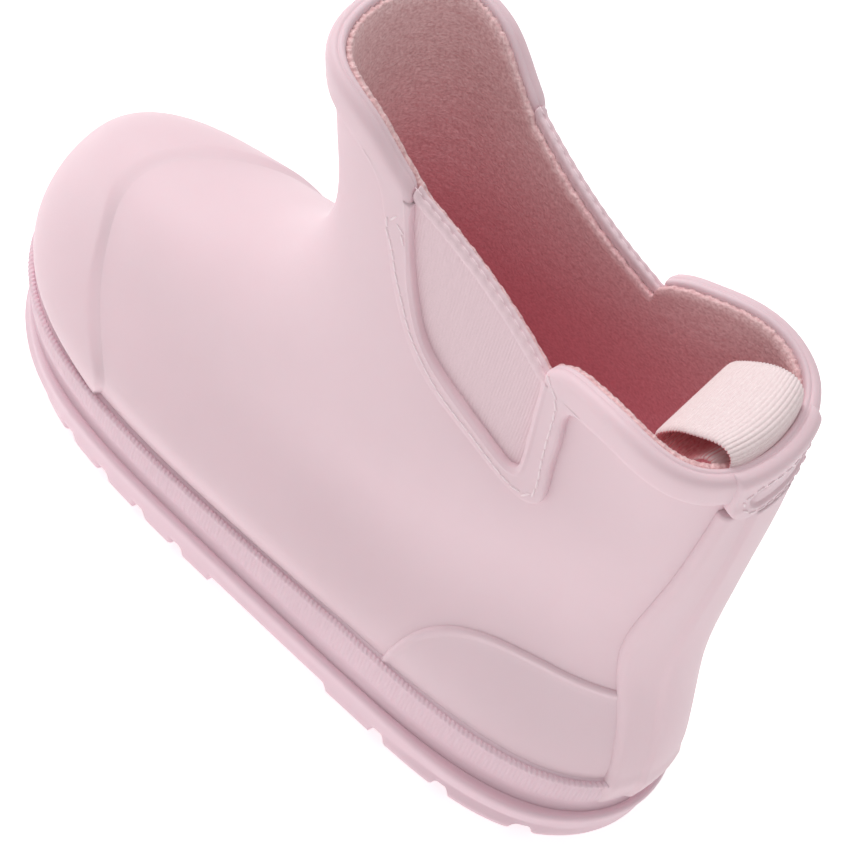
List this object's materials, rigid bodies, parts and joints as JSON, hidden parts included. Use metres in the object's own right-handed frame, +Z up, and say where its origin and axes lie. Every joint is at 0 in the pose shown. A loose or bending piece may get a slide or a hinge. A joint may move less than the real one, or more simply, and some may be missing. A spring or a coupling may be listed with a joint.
{
  "type": "pull-on rubber ankle boot",
  "caption": "Child's pull-on rubber ankle boot with elastic side gores, lugged sole, brushed knit lining and a webbing pull loop at the back.",
  "frame": {"origin": "centre of the bounding box at the ground plane", "axes": "+Z up, -Y towards the toe, +X towards the wearer's left, which is the outer side of this left boot"},
  "size_m": [0.0793, 0.1982, 0.1507],
  "materials": {
    "upper_rubber": "smooth matt pink vulcanised rubber",
    "sole_rubber": "matt moulded rubber, slightly deeper pink",
    "foxing_rubber": "matt rubber with fine upright ribs",
    "filler_rubber": "rough sponge rubber, hidden",
    "board": "pressed fibre board, hidden",
    "footbed_foam": "closed-cell foam",
    "lining_knit": "brushed dusty-rose knit",
    "elastic": "ribbed elastic webbing",
    "stitch": "twisted thread",
    "webbing": "pale ribbed cotton webbing"
  },
  "bodies": {
    "base": {"outsole": "sole_rubber", "forefoot_filler": "filler_rubber", "heel_filler": "filler_rubber", "insole_board": "board", "lining_sole": "lining_knit", "vamp": "upper_rubber", "leg_shell": "upper_rubber", "lining_vamp": "lining_knit", "lining_leg": "lining_knit", "foxing_band": "foxing_rubber", "foxing_bead": "foxing_rubber", "toe_cap": "upper_rubber", "heel_counter": "upper_rubber", "back_strip": "upper_rubber", "front_collar": "upper_rubber", "rear_collar": "upper_rubber", "gore_surround_left": "upper_rubber", "gore_surround_right": "upper_rubber", "gore_elastic_left": "elastic", "gore_elastic_right": "elastic", "gore_edge_left": "elastic", "gore_edge_right": "elastic", "gore_stitches_left": "stitch", "gore_stitches_right": "stitch", "tab_patch": "upper_rubber", "tab_stitches": "stitch", "loop_tail": "webbing"},
    "loop": {"pull_loop": "webbing"},
    "footbed": {"footbed_foam": "footbed_foam", "footbed_cover": "lining_knit"}
  },
  "joints": [
    {"name": "pull_loop_hinge", "type": "hinge", "parent": "base", "child": "loop", "pos_m": [0.0053, 0.0746, 0.131], "axis": [-1, 0, 0], "range_deg": [0, 110]},
    {"name": "footbed_lift", "type": "hinge", "parent": "base", "child": "footbed", "pos_m": [0, -0.0828, 0.0164], "axis": [1, 0, 0], "range_deg": [0, 4]}
  ]
}
